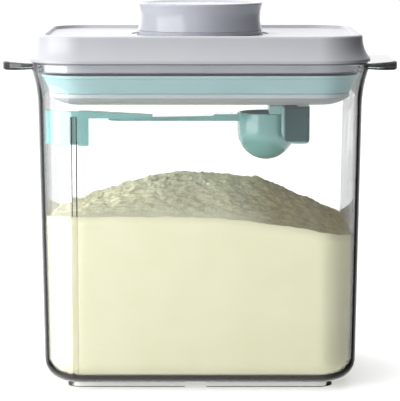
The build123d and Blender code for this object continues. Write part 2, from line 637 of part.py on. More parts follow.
def latch_pin():
    """A bent wire: pivot, upright arm and a tip that rides in the carrier's slanted slot."""
    arm_y = LATCH_Y + LATCH_ARM_GAP
    tip_z = LATCH_PIVOT_Z + LATCH_ARM
    pin = cross_rod(LATCH_WIRE_R, 0, (arm_y - LATCH_WIRE_R, arm_y + LATCH_PIVOT_LENGTH), LATCH_PIVOT_Z)
    pin += rod(LATCH_WIRE_R, LATCH_PIVOT_Z, tip_z, 0, arm_y)
    return pin + cross_rod(LATCH_WIRE_R, 0, (LATCH_Y - LATCH_TIP_REACH, arm_y + LATCH_WIRE_R), tip_z)


def latch_bracket():
    front = LATCH_Y + LATCH_ARM_GAP + BRACKET_OVER
    y = (front, front + BRACKET_THICK)
    base = box((-BRACKET_HALF_X, BRACKET_HALF_X), y, (BASIN_FLOOR + SEAT_GAP, LATCH_PIVOT_Z + BRACKET_OVER))
    return base - cross_rod(LATCH_WIRE_R + 0.05, 0, y, LATCH_PIVOT_Z)


def button_spring():
    low = BASIN_FLOOR + SPRING_WIRE_R + 0.05
    high = CORE_TOP - CORE_THICK - SPRING_WIRE_R - 0.05
    coil = Pos(0, 0, low) * Helix((high - low) / SPRING_TURNS, high - low, SPRING_R)
    wire = Plane(coil @ 0, z_dir=coil % 0) * Circle(SPRING_WIRE_R)
    return sweep(wire, path=coil)


def round_bottomed(radius, center_z, top):
    """The outside or inside of the scoop's bowl: a cylinder on a half ball."""
    ball = Pos(SCOOP_X, 0, center_z) * Sphere(radius)
    half_ball = ball & rod(radius + 1, center_z - radius - 1, center_z, SCOOP_X)
    return half_ball + rod(radius, center_z, top, SCOOP_X)


def scoop():
    """A round-bottomed bowl with a flat handle, and a crescent lip that the clip holds."""
    center_z = SCOOP_BOTTOM + SCOOP_R
    bowl = round_bottomed(SCOOP_R, center_z, SCOOP_RIM)
    handle = side_plate([(HANDLE_TIP_X, HANDLE_BOTTOM), (SCOOP_X, HANDLE_BOTTOM),
                         (SCOOP_X, HANDLE_STEP[1][1]), HANDLE_STEP[1], HANDLE_STEP[0],
                         (HANDLE_TIP_X, HANDLE_TIP_TOP)], (-HANDLE_HALF_WIDTH, HANDLE_HALF_WIDTH))
    tip = handle.edges().filter_by(Axis.Z).group_by(Axis.X)[0]
    handle = fillet(tip, HANDLE_HALF_WIDTH - 0.5)
    lip = tube(HOOK_R, SCOOP_R - MERGE, SCOOP_RIM - LIP_THICK, SCOOP_RIM, SCOOP_X)
    lip &= box((HOOK_X, SCOOP_X + 2 * HOOK_R), (-2 * HOOK_R, 2 * HOOK_R), (SCOOP_BOTTOM, SCOOP_RIM + 1))
    piece = bowl + handle + lip - round_bottomed(SCOOP_R - SCOOP_WALL, center_z, SCOOP_RIM + 1)
    piece = fillet(level_edges(piece, SCOOP_RIM), EDGE_R)
    under_handle = level_edges(piece, HANDLE_BOTTOM)
    return fillet(under_handle.filter_by(lambda edge: edge.center().X < SCOOP_X - SCOOP_R), EDGE_R)


def scoop_clip():
    """A fork under the pressure plate: two cheeks, an end wall and a ledge under the scoop's lip."""
    cheek = side_plate([(CLIP_X[0], CLIP_BOTTOM), (CLIP_X[1], CLIP_BOTTOM), (CLIP_X[1], CLIP_TOP),
                        (CLIP_X[0], CLIP_TOP)], (-CLIP_HALF_Y, CLIP_WALL - CLIP_HALF_Y))
    corners = cheek.edges().filter_by(Axis.Y).group_by(Axis.Z)[0].sort_by(Axis.X)
    cheek = fillet(corners[0], CLIP_ROUND)
    heel = cheek.edges().filter_by(Axis.Y).sort_by(lambda edge: edge.center().Z - edge.center().X)[0]
    cheek = fillet(heel, CLIP_HEEL_R)
    clip = cheek + mirror(cheek, Plane.XZ)
    clip += box((CLIP_X[1] - CLIP_WALL, CLIP_X[1]), (-CLIP_HALF_Y, CLIP_HALF_Y), (CLIP_END_LOW, CLIP_TOP))
    ledge = box(CLIP_X, (-CLIP_HALF_Y, CLIP_HALF_Y), LEDGE_Z)
    clip += ledge - rod(SCOOP_R + CLIP_LEDGE_GAP, LEDGE_Z[0] - 1, LEDGE_Z[1] + 1, SCOOP_X)
    web_z = (SCOOP_RIM + CLIP_WEB_GAP, CLIP_TOP)
    clip += box(CLIP_X, (-CLIP_HALF_Y, CLIP_HALF_Y), web_z)
    clip += box((CLIP_ROOT_X, CLIP_X[0] + 1), (-CLIP_NECK_HALF_Y, CLIP_NECK_HALF_Y), web_z)
    clip += box((CLIP_ROOT_X, CLIP_ROOT[0]), (-CLIP_ROOT[1], CLIP_ROOT[1]), (CLIP_TOP - MERGE, CLIP_ROOT_TOP))
    near = 0.01
    outside = clip.edges().filter_by(
        lambda edge: edge.bounding_box().size.Y < near and abs(abs(edge.center().Y) - CLIP_HALF_Y) < near)
    return fillet(outside, CLIP_EDGE_R)


def frame_screws():
    low = BASIN_BOTTOM + FRAME_SCREW_SINK
    return Compound([screw(x, y, low, FRAME_SCREW_HEAD_R, PILOT_R - 0.05, PILOT_TOP - 2)
                     for x, y in boss_places()])


def yoke_screws():
    return Compound([screw(x, y, *YOKE_SCREW) for x, y in yoke_screw_places()])


def main():
    os.makedirs("parts", exist_ok=True)
    plate = pressure_plate()
    parts = {
        "container_body": container_body(),
        "leveler": leveler(),
        "milk_powder": milk_powder(),
        "lid_shell": lid_shell(),
        "lid_frame": lid_frame(),
        "frame_screws": frame_screws(),
        "gap_gasket": band(*FOAM_HALF, SEAL_TOP + FOAM_GAP, NECK_BOTTOM),
        "button_shell": button_shell(),
        "button_core": button_core(),
        "button_spring": button_spring(),
        "latch_pin": latch_pin(),
        "latch_bracket": latch_bracket(),
        "rocker_left": rocker(-1),
        "rocker_right": rocker(1),
        "rocker_pin_left": rocker_pin(-1),
        "rocker_pin_right": rocker_pin(1),
        "pressure_plate": plate,
        "seal_gasket": seal_gasket(),
        "lift_yoke_left": lift_yoke(-1),
        "lift_yoke_right": lift_yoke(1),
        "yoke_screws": yoke_screws(),
        "scoop_clip": scoop_clip() - plate,
        "scoop": scoop(),
    }
    for name, part in parts.items():
        export_step(part, f"parts/{name}.step")


main()
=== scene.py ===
"""Looks of the airtight formula dispenser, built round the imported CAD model.

Metres throughout, in the CAD frame: +X to the right, +Y to the back, +Z up.
"""

import math

import bmesh
import bpy
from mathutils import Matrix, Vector, noise


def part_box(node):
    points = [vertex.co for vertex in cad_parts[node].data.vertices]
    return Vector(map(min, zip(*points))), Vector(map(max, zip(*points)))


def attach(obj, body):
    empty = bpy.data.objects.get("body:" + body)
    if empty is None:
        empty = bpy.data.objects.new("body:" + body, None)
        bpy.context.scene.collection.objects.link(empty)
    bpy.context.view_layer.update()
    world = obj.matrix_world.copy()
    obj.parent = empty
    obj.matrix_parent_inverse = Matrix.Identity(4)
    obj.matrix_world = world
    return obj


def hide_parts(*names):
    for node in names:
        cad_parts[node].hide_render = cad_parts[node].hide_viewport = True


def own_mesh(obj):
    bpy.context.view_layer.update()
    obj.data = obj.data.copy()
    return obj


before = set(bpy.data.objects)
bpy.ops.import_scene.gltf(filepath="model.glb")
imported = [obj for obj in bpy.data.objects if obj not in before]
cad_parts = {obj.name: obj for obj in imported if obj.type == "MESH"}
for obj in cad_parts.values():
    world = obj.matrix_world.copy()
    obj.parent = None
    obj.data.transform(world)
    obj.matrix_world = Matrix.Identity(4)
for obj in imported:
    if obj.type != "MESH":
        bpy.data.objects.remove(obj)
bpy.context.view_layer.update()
MM = 0.001

# ---- Camera: in front and a little above, aimed at the middle of the container
CAMERA_PLACE = (0.0, -1.0, 0.217)
CAMERA_AIM = (0.0, 0.0, 0.0822)
CAMERA_LENS = 188.65                 # millimetres
CAMERA_SENSOR = 36.0                 # millimetres
CAMERA_REACH = 100.0                 # metres

# ---- Plan outline of the container at its base, and how many parts each stretch of it is drawn in
PLAN_HALF_X = 72.5 * MM
PLAN_HALF_Y = 51.2 * MM
PLAN_CORNER_R = 18.0 * MM
CORNER_STEPS = 24
SIDE_STEPS = 60
END_STEPS = 40


# ---------------------------------------------------------------- mesh helpers

def new_piece(name, bm, material, body):
    """Turns a bmesh into a smooth piece that rides on a body and wears a material slot."""
    bmesh.ops.recalc_face_normals(bm, faces=bm.faces)
    mesh = bpy.data.meshes.new(name)
    bm.to_mesh(mesh)
    bm.free()
    for face in mesh.polygons:
        face.use_smooth = True
    piece = bpy.data.objects.new(name, mesh)
    bpy.context.scene.collection.objects.link(piece)
    mesh.materials.append(material)
    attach(piece, body)
    return piece


def plan_outline(half_x):
    """Points round the plan outline grown to this half-width, counter-clockwise from its right side."""
    grow = half_x - PLAN_HALF_X
    flat_x = PLAN_HALF_X - PLAN_CORNER_R
    flat_y = PLAN_HALF_Y - PLAN_CORNER_R
    radius = PLAN_CORNER_R + grow
    points = []
    for turn in range(4):
        start = math.pi / 2 * turn
        x = flat_x if turn in (0, 3) else -flat_x
        y = flat_y if turn in (0, 1) else -flat_y
        for step in range(CORNER_STEPS):
            angle = start + math.pi / 2 * step / CORNER_STEPS
            points.append((x + radius * math.cos(angle), y + radius * math.sin(angle)))
        angle = start + math.pi / 2
        begin = (x + radius * math.cos(angle), y + radius * math.sin(angle))
        across = turn in (0, 2)
        sign = -1 if turn in (0, 1) else 1
        length = 2 * (flat_x if across else flat_y)
        steps = SIDE_STEPS if across else END_STEPS
        for step in range(steps):
            move = sign * length * step / steps
            points.append((begin[0] + (move if across else 0), begin[1] + (0 if across else move)))
    return points


def skin(bm, rings, closed_ends=False):
    """Quads between rings of vertices that have the same number of points."""
    count = len(rings[0])
    for low, high in zip(rings, rings[1:]):
        for i in range(count):
            j = (i + 1) % count
            bm.faces.new((low[i], low[j], high[j], high[i]))
    if closed_ends:
        bm.faces.new(rings[0])
        bm.faces.new(rings[-1])


# ------------------------------------------------------------ material helpers

def linear(channel):
    """An 8-bit display value as linear light."""
    value = channel / 255
    return value / 12.92 if value <= 0.04045 else ((value + 0.055) / 1.055) ** 2.4


def colour(red, green, blue):
    """A colour from its three 8-bit display values."""
    return (linear(red), linear(green), linear(blue), 1.0)


def add(tree, kind, **inputs):
    """A node with plain input values, by socket name with underscores for spaces."""
    node = tree.nodes.new(kind)
    for name, value in inputs.items():
        node.inputs[name.replace("_", " ")].default_value = value
    return node


def new_material(name, **inputs):
    """A material with one Principled shader, and that shader's plain input values."""
    material = bpy.data.materials.new(name)
    material.use_nodes = True
    shader = material.node_tree.nodes["Principled BSDF"]
    for socket, value in inputs.items():
        shader.inputs[socket.replace("_", " ")].default_value = value
    return material, material.node_tree, shader


def place_of(tree):
    """The point's place in the object's frame."""
    return tree.nodes.new("ShaderNodeTexCoord").outputs["Object"]


def along_axis(tree, axis):
    """The point's place along one axis of the object's frame, in metres."""
    split = tree.nodes.new("ShaderNodeSeparateXYZ")
    tree.links.new(place_of(tree), split.inputs[0])
    return split.outputs[axis]


def flat(tree, shade):
    """One colour all over."""
    node = tree.nodes.new("ShaderNodeRGB")
    node.outputs[0].default_value = shade
    return node.outputs[0]


def grain(tree, size, detail=2.0, roughness=0.5):
    """Noise whose features are about this many metres across."""
    node = add(tree, "ShaderNodeTexNoise", Scale=1 / size, Detail=detail, Roughness=roughness)
    tree.links.new(place_of(tree), node.inputs["Vector"])
    return node.outputs["Fac"]


def cells(tree, size):
    """Distance from the nearest middle of cells that are about this many metres across."""
    node = add(tree, "ShaderNodeTexVoronoi", Scale=1 / size)
    tree.links.new(place_of(tree), node.inputs["Vector"])
    return node.outputs["Distance"]


def ramp(tree, source, low, high, start=0.3, stop=0.7):
    """Maps a grey value from start..stop to low..high, and holds it there beyond the ends."""
    node = add(tree, "ShaderNodeMapRange", From_Min=start, From_Max=stop, To_Min=low, To_Max=high)
    tree.links.new(source, node.inputs["Value"])
    return node.outputs["Result"]


def blend_colours(tree, source, low, high, start=0.3, stop=0.7):
    """Maps a grey value from start..stop to the colours between low and high."""
    node = tree.nodes.new("ShaderNodeValToRGB")
    node.color_ramp.elements[0].position = start
    node.color_ramp.elements[0].color = low
    node.color_ramp.elements[1].position = stop
    node.color_ramp.elements[1].color = high
    tree.links.new(source, node.inputs["Fac"])
    return node.outputs["Color"]


# A Mix node has sockets for every kind of value: these are its colour ones
MIX_FIRST, MIX_SECOND, MIX_RESULT = 6, 7, 2


def blend(tree, factor, first, second):
    """Mixes two colour outputs."""
    node = add(tree, "ShaderNodeMix")
    node.data_type = "RGBA"
    tree.links.new(factor, node.inputs["Factor"])
    tree.links.new(first, node.inputs[MIX_FIRST])
    tree.links.new(second, node.inputs[MIX_SECOND])
    return node.outputs[MIX_RESULT]


def bump(tree, shader, source, depth, strength=1.0, under=None):
    """Raises the surface by a grey value, on top of an earlier bump where one is given."""
    node = add(tree, "ShaderNodeBump", Distance=depth, Strength=strength)
    tree.links.new(source, node.inputs["Height"])
    if under:
        tree.links.new(under, node.inputs["Normal"])
    tree.links.new(node.outputs["Normal"], shader.inputs["Normal"])
    return node.outputs["Normal"]


def combine(tree, operation, first, second):
    """One arithmetic step on two grey values."""
    node = tree.nodes.new("ShaderNodeMath")
    node.operation = operation
    tree.links.new(first, node.inputs[0])
    tree.links.new(second, node.inputs[1])
    return node.outputs[0]


def mix_shaders(tree, factor, first, second):
    """The first shader at factor 0 and the second at 1."""
    node = tree.nodes.new("ShaderNodeMixShader")
    tree.links.new(factor, node.inputs[0])
    tree.links.new(first, node.inputs[1])
    tree.links.new(second, node.inputs[2])
    return node.outputs[0]


# -------------------------------------------------------------------- materials

# ---- Clear container
PLASTIC_IOR = 1.53
PLASTIC_TINT = (0.98, 0.988, 0.986, 1)
LAMP_TINT = (0.97, 0.98, 0.98, 1)            # what a wall leaves of the light that lamps send through it
HAZE_SIZE, HAZIEST = 14 * MM, 0.018
RIPPLE_SIZE, RIPPLE_DEPTH = 22 * MM, 0.012 * MM
EDGE_SHADE_SOFTNESS = (0.05, 0.01)                 # how far below and above the critical value the painted edge shade fades in

# ---- Painted shade on the container's walls at their grazing inner edges, by height: near black for the dark surroundings seen through them, and at the foot a painted tone of the powder seen through it
FOOT_PAINTED_POWDER_TONE = (0.16, 0.155, 0.13, 1)
WALL_PAINTED_EDGE_SHADE = (0.010, 0.011, 0.013, 1)
LIP_PAINTED_EDGE_SHADE = (0.11, 0.115, 0.12, 1)
FOOT_BAND = {"start": 3 * MM, "stop": 11 * MM}
LIP_BAND = {"start": 138 * MM, "stop": 146 * MM}


def clear_plastic():
    """Clear copolyester: bends light, lets lamps through, and has painted shade at the grazing inner edges of
    its walls.
    """
    material, tree, shader = new_material("clear_copolyester", IOR=PLASTIC_IOR, Transmission_Weight=1.0)
    shader.inputs["Base Color"].default_value = PLASTIC_TINT
    haze = grain(tree, HAZE_SIZE, detail=4.0, roughness=0.65)
    tree.links.new(ramp(tree, haze, 0.0, HAZIEST, 0.35, 0.75), shader.inputs["Roughness"])
    bump(tree, shader, grain(tree, RIPPLE_SIZE, detail=1.0), RIPPLE_DEPTH)
    critical = 1 - math.sqrt(1 - 1 / PLASTIC_IOR ** 2)
    below, above = EDGE_SHADE_SOFTNESS
    facing = add(tree, "ShaderNodeLayerWeight", Blend=0.5).outputs["Facing"]
    beyond = ramp(tree, facing, 0.0, 1.0, critical - below, critical + above)
    inside = tree.nodes.new("ShaderNodeNewGeometry").outputs["Backfacing"]
    # painted edge shade: a dark diffuse shader at grazing inner edges, standing in for the dark surroundings
    # seen through the walls
    painted_edge_shade = combine(tree, "MULTIPLY", beyond, inside)
    dark = tree.nodes.new("ShaderNodeBsdfDiffuse")
    height = along_axis(tree, "Z")
    off_foot = ramp(tree, height, 0.0, 1.0, **FOOT_BAND)
    off_foot = blend_colours(tree, off_foot, FOOT_PAINTED_POWDER_TONE, WALL_PAINTED_EDGE_SHADE, 0.0, 1.0)
    near_lip = ramp(tree, height, 0.0, 1.0, **LIP_BAND)
    tree.links.new(blend(tree, near_lip, off_foot, flat(tree, LIP_PAINTED_EDGE_SHADE)), dark.inputs["Color"])
    body = mix_shaders(tree, painted_edge_shade, shader.outputs[0], dark.outputs[0])
    through = add(tree, "ShaderNodeBsdfTransparent", Color=LAMP_TINT)
    lamp_ray = tree.nodes.new("ShaderNodeLightPath").outputs["Is Shadow Ray"]
    tree.links.new(mix_shaders(tree, lamp_ray, body, through.outputs[0]),
                   tree.nodes["Material Output"].inputs["Surface"])
    return material


# ---- Powder: how coarse its clumps, crumbs and grains are
PRESSED_SIZE = 16 * MM
CLUMP_SIZE = 3.4 * MM
CRUMB_SIZE = 1.3 * MM
LUMP_SIZE, LUMP_DEPTH = 1.4 * MM, 0.6 * MM
GRAIN_SIZE, GRAIN_DEPTH = 0.5 * MM, 0.05 * MM

# ---- Powder: the stretches over which its finish changes, painted shade among them
LEVEL_ENOUGH = {"start": 0.2, "stop": 0.5}               # upward part of the normal: from side to open top, which is painted darker, partly as shade
RIGHT_SHADE_BAND = {"start": 13 * MM, "stop": 34 * MM}          # X: painted shade, darker to the right, away from the key light
CRUMB_BAND = {"start": 8 * MM, "stop": 28 * MM}          # X: painted shade, fewer pale crumbs to the right, away from the key light
OFF_WALL_BAND = {"start": -49 * MM, "stop": -36 * MM}    # Y: pressed at the front wall, loose behind it


def milk_powder():
    """Fine pale powder: smooth where it is pressed to the wall, clumped on the open heap, with painted shade
    darkening the open top, more so towards the right.
    """
    material, tree, shader = new_material(
        "milk_powder_grains", Roughness=0.92, Specular_IOR_Level=0.18, Sheen_Weight=0.1)
    normal = tree.nodes.new("ShaderNodeNewGeometry").outputs["True Normal"]
    split = tree.nodes.new("ShaderNodeSeparateXYZ")
    tree.links.new(normal, split.inputs[0])
    facing_up = ramp(tree, split.outputs["Z"], 0.0, 1.0, **LEVEL_ENOUGH)
    patches = grain(tree, PRESSED_SIZE, detail=4.0)
    pressed = blend_colours(tree, patches, colour(248, 245, 206), colour(252, 249, 214))
    clumps = grain(tree, CLUMP_SIZE, detail=10.0, roughness=0.78)
    # lit and fine: the same clumped colour in light and in painted shade
    lit = blend_colours(tree, clumps, colour(190, 180, 130), colour(255, 251, 214), 0.34, 0.60)
    fine = blend_colours(tree, clumps, colour(146, 131, 72), colour(212, 196, 136), 0.34, 0.68)
    # painted shade, growing towards the right, away from the key light
    right_shade = ramp(tree, along_axis(tree, "X"), 0.0, 1.0, **RIGHT_SHADE_BAND)
    crumbs = ramp(tree, grain(tree, CRUMB_SIZE, detail=4.0, roughness=0.7), 0.0, 0.8, 0.56, 0.64)
    # painted shade: the pale crumbs thin out towards the right
    thinning = ramp(tree, along_axis(tree, "X"), 1.0, 0.15, **CRUMB_BAND)
    crumbs = combine(tree, "MULTIPLY", crumbs, thinning)
    loose = blend(tree, crumbs, blend(tree, right_shade, lit, fine), flat(tree, colour(255, 253, 232)))
    off_wall = ramp(tree, along_axis(tree, "Y"), 0.15, 1.0, **OFF_WALL_BAND)
    # the open top takes the clumped colours, darker than the pressed face partly as painted shade; the
    # painted right-hand shade reaches the front wall too
    open_top = combine(tree, "MULTIPLY", facing_up, combine(tree, "MAXIMUM", off_wall, right_shade))
    tree.links.new(blend(tree, open_top, pressed, loose), shader.inputs["Base Color"])
    lumps = add(tree, "ShaderNodeBump", Distance=LUMP_DEPTH)
    tree.links.new(facing_up, lumps.inputs["Strength"])
    tree.links.new(grain(tree, LUMP_SIZE, detail=6.0, roughness=0.75), lumps.inputs["Height"])
    bump(tree, shader, cells(tree, GRAIN_SIZE), GRAIN_DEPTH, 0.6, lumps.outputs["Normal"])
    return material


FOAM_CELL_SIZE, FOAM_CELL_DEPTH = 0.35 * MM, 0.12 * MM


def foam():
    """Closed-cell foam: nearly black, pitted by its cells."""
    material, tree, shader = new_material("closed_cell_foam", Roughness=0.9, Sheen_Weight=0.2)
    pits = cells(tree, FOAM_CELL_SIZE)
    tree.links.new(blend_colours(tree, pits, colour(8, 9, 11), colour(26, 28, 32)),
                   shader.inputs["Base Color"])
    bump(tree, shader, pits, FOAM_CELL_DEPTH)
    return material


DRAWING_MARK_SIZE, DRAWING_MARK_DEPTH = 0.3 * MM, 0.01 * MM
DULL_SPOT_SIZE = 2 * MM


def steel():
    """Drawn spring and screw steel, with fine drawing marks and a few dull spots."""
    material, tree, shader = new_material("drawn_steel", Metallic=1.0)
    marks = grain(tree, DRAWING_MARK_SIZE, detail=5.0, roughness=0.7)
    tree.links.new(blend_colours(tree, marks, colour(168, 170, 174), colour(206, 208, 212)),
                   shader.inputs["Base Color"])
    dullness = ramp(tree, grain(tree, DULL_SPOT_SIZE, detail=3.0), 0.18, 0.36)
    tree.links.new(dullness, shader.inputs["Roughness"])
    bump(tree, shader, marks, DRAWING_MARK_DEPTH)
    return material


SILICONE_TONE_SIZE = 18 * MM
DUST_SIZE = 3 * MM
SILICONE_GRAIN_SIZE, SILICONE_GRAIN_DEPTH = 0.4 * MM, 0.015 * MM


def silicone():
    """Matt mint silicone with dusty uneven gloss."""
    material, tree, shader = new_material("mint_silicone", Specular_IOR_Level=0.42, Sheen_Weight=0.1)
    tone = grain(tree, SILICONE_TONE_SIZE, detail=3.0)
    tree.links.new(blend_colours(tree, tone, colour(164, 200, 203), colour(172, 207, 209)),
                   shader.inputs["Base Color"])
    dust = grain(tree, DUST_SIZE, detail=5.0, roughness=0.7)
    tree.links.new(ramp(tree, dust, 0.36, 0.5), shader.inputs["Roughness"])
    bump(tree, shader, grain(tree, SILICONE_GRAIN_SIZE, detail=3.0), SILICONE_GRAIN_DEPTH)
    return material


# ---- Moulded plastics: sizes of their marks, and how far their gloss wanders from its middle
FLOW_SIZE = 28 * MM
SHEEN_SIZE = 5 * MM
WAVE_SIZE, WAVE_DEPTH = 16 * MM, 0.006 * MM
TEXTURE_SIZE, TEXTURE_DEPTH = 0.4 * MM, 0.002 * MM
GLOSSIEST, DULLEST = 0.88, 1.14


def moulded(name, dark, light, gloss, **inputs):
    """Injection-moulded plastic: slight flow shading, uneven gloss and a fine moulded grain."""
    material, tree, shader = new_material(name, **inputs)
    flow = grain(tree, FLOW_SIZE, detail=3.0)
    tree.links.new(blend_colours(tree, flow, dark, light), shader.inputs["Base Color"])
    sheen = grain(tree, SHEEN_SIZE, detail=4.0, roughness=0.6)
    sheen = ramp(tree, sheen, gloss * GLOSSIEST, gloss * DULLEST, 0.1, 0.9)
    tree.links.new(sheen, shader.inputs["Roughness"])
    wave = bump(tree, shader, grain(tree, WAVE_SIZE, detail=1.0), WAVE_DEPTH)
    bump(tree, shader, grain(tree, TEXTURE_SIZE, detail=3.0, roughness=0.6), TEXTURE_DEPTH, under=wave)
    return material


CLIP_FLOW_SIZE = 14 * MM
CLIP_ROOT = {"start": 39.0 * MM, "stop": 40.2 * MM}          # X where the clip's root ends and its painted shade begins
CLIP_LOWER_EDGE = {"start": 111.8 * MM, "stop": 112.8 * MM}  # Z where its lower edge ends and its painted shade begins
CLIP_GRAIN_SIZE, CLIP_GRAIN_DEPTH = 0.25 * MM, 0.006 * MM


def clip_plastic():
    """Mint plastic, with deep teal painted as shade over its face, which turns from the light; pale mint at
    its root and along its lower edge.
    """
    material, tree, shader = new_material("clip_mint_painted_shade", Specular_IOR_Level=0.22)
    flow = grain(tree, CLIP_FLOW_SIZE, detail=3.0)
    # teal: painted shade over the clip's face; mint: the plastic's own colour
    teal = blend_colours(tree, flow, colour(26, 70, 75), colour(36, 78, 82))
    mint = blend_colours(tree, flow, colour(152, 192, 190), colour(160, 200, 197))
    beyond_root = ramp(tree, along_axis(tree, "X"), 0.0, 1.0, **CLIP_ROOT)
    above_edge = ramp(tree, along_axis(tree, "Z"), 0.0, 1.0, **CLIP_LOWER_EDGE)
    face = combine(tree, "MULTIPLY", beyond_root, above_edge)
    tree.links.new(blend(tree, face, mint, teal), shader.inputs["Base Color"])
    sheen = grain(tree, SHEEN_SIZE, detail=4.0, roughness=0.6)
    tree.links.new(ramp(tree, sheen, 0.16, 0.22), shader.inputs["Roughness"])
    bump(tree, shader, grain(tree, CLIP_GRAIN_SIZE, detail=3.0, roughness=0.6), CLIP_GRAIN_DEPTH)
    return material


MATERIALS = {
    "clear_plastic": clear_plastic(),
    "lid_grey": moulded("lid_satin", colour(205, 206, 212), colour(211, 212, 217), 0.30),
    "button_grey": moulded("button_gloss", colour(184, 187, 195), colour(190, 193, 201), 0.17),
    "frame_grey": moulded("frame_satin", colour(176, 179, 186), colour(184, 187, 194), 0.34),
    "plate_plastic": moulded("plate_frosted", colour(190, 196, 200), colour(198, 203, 207), 0.38),
    "mint_plastic": moulded("mint_gloss", colour(116, 177, 174), colour(124, 185, 181), 0.10,
                            Coat_Weight=0.6, Coat_Roughness=0.03,
                            Subsurface_Weight=0.12, Subsurface_Scale=1.5 * MM),
    "clip_mint": clip_plastic(),
    "inner_plastic": moulded("acetal_white", colour(206, 208, 208), colour(216, 217, 216), 0.36),
    "powder": milk_powder(),
    "seal_silicone": silicone(),
    "black_foam": foam(),
    "steel": steel(),
}


def dress_cad_nodes():
    """Every CAD node gets the finish of its material slot."""
    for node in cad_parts.values():
        for slot in node.material_slots:
            slot.material = MATERIALS[slot.material.name.split(".")[0]]


# ------------------------------------------------------------------ soft pieces

WALL = 2.1 * MM                      # thickness of the container
DRAFT_GROWTH = 2.2                   # millimetres that the container's half-width grows
DRAFT_HEIGHT = 131.0                 # millimetres of height that it grows over

# ---- Powder heap
POWDER_SEED = Vector((3.7, 1.9, 8.2))
POWDER_WALL_GAP = 0.25 * MM
POWDER_CORNER_R = 8.0 * MM
POWDER_BRIM = 80.0 * MM              # height whose outline the heap's top is drawn in
TOP_RINGS = 120
TOP_RING_SPACING = 0.8               # below 1, the rings crowd towards the wall
SIDE_RINGS = 14
CORNER_RINGS = 8

# ---- Powder heap: tops of its front edge, crest and back edge, as X and Z in millimetres
FRONT_TOPS = ((-75, 81.0), (-55, 81.4), (-20, 81.7), (10, 80.8), (40, 77.2), (60, 73.6), (75, 70.6))
CREST_TOPS = ((-75, 76.5), (-64, 79.2), (-53, 84.4), (-44, 86.8), (-35, 90.4), (-20, 94.2), (-8, 95.4),
              (14, 95.2), (30, 91.4), (45, 86.0), (57, 80.2), (66, 75.0), (75, 70.6))
BACK_TOPS = ((-75, 74.0), (-35, 79.5), (10, 81.5), (45, 78.0), (75, 70.6))
CREST_Y = 4.0 * MM
SLOPE_POWER = 1.25                   # above 1, the slopes steepen towards the walls

# ---- Powder heap: size in millimetres and height of its swells, lumps and crumbs
SWELLS = (16.0, 1.3 * MM)
LUMPS = (4.6, 1.5 * MM)
CRUMBS = (1.7, 0.6 * MM)
LOOSE_AT_WALL = 0.25                 # how much of them is left at the walls


def along(tops, x):
    """Height of a row of tops at x, in straight stretches between its points."""
    x = x / MM
    for (x0, z0), (x1, z1) in zip(tops, tops[1:]):
        if x <= x1:
            share = max(0.0, (x - x0) / (x1 - x0))
            return (z0 + (z1 - z0) * share) * MM
    return tops[-1][1] * MM


def powder_top(x, y):
    """Height of the heap: slopes from the crest down to the front and back walls, and loose clumps."""
    near_y = PLAN_HALF_Y - WALL
    side = FRONT_TOPS if y < CREST_Y else BACK_TOPS
    reach = (CREST_Y + near_y) if y < CREST_Y else (near_y - CREST_Y)
    share = min(1.0, abs(y - CREST_Y) / reach)
    crest, wall = along(CREST_TOPS, x), along(side, x)
    fall = share ** SLOPE_POWER
    place = Vector((x, y, 0)) / MM + POWDER_SEED
    uneven = sum(noise.noise(place / size) * height for size, height in (SWELLS, LUMPS, CRUMBS))
    loose = LOOSE_AT_WALL + (1 - LOOSE_AT_WALL) * (1 - fall)
    return crest + (wall - crest) * fall + uneven * loose


def powder_half(z):
    """Half-width of the powder at a height above its rounded bottom edge."""
    return PLAN_HALF_X + DRAFT_GROWTH / DRAFT_HEIGHT * z - WALL - POWDER_WALL_GAP


def powder_heap():
    """The heap as one closed skin: lumpy top, drafted sides and a rounded bottom edge."""
    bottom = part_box("milk_powder")[0].z
    bm = bmesh.new()
    brim = plan_outline(powder_half(POWDER_BRIM))
    rings = []
    for ring in range(1, TOP_RINGS + 1):
        share = (ring / TOP_RINGS) ** TOP_RING_SPACING
        inner = [(x * share, y * share) for x, y in brim]
        rings.append([bm.verts.new((x, y, powder_top(x, y))) for x, y in inner])
    tops = [vert.co.z for vert in rings[-1]]
    corner = bottom + POWDER_CORNER_R
    for step in range(1, SIDE_RINGS + 1):
        heights = [top + (corner - top) * step / SIDE_RINGS for top in tops]
        rings.append([bm.verts.new((*plan_outline(powder_half(z))[i], z)) for i, z in enumerate(heights)])
    for step in range(1, CORNER_RINGS + 1):
        angle = math.pi / 2 * step / CORNER_RINGS
        half = powder_half(corner) - POWDER_CORNER_R * (1 - math.cos(angle))
        z = corner - POWDER_CORNER_R * math.sin(angle)
        rings.append([bm.verts.new((x, y, z)) for x, y in plan_outline(half)])
    skin(bm, rings)
    for ring, z in ((rings[0], powder_top(0, 0)), (rings[-1], bottom)):
        middle = bm.verts.new((0, 0, z))
        for i in range(len(ring)):
            bm.faces.new((ring[i], ring[(i + 1) % len(ring)], middle))
    heap = new_piece("powder_heap", bm, MATERIALS["powder"], "container")
    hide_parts("milk_powder")


FOAM_WIDTH = 6.8 * MM
FOAM_INSET = 0.12 * MM               # how far its sides keep off the solid it stands for
FOAM_SIDES = 20
FOAM_SQUARENESS = (0.35, 0.5)        # across and up: 1 would be round, 0 square


def bend(value, power):
    """A sine or cosine pushed towards its ends, with its sign kept."""
    return math.copysign(abs(value) ** power, value)


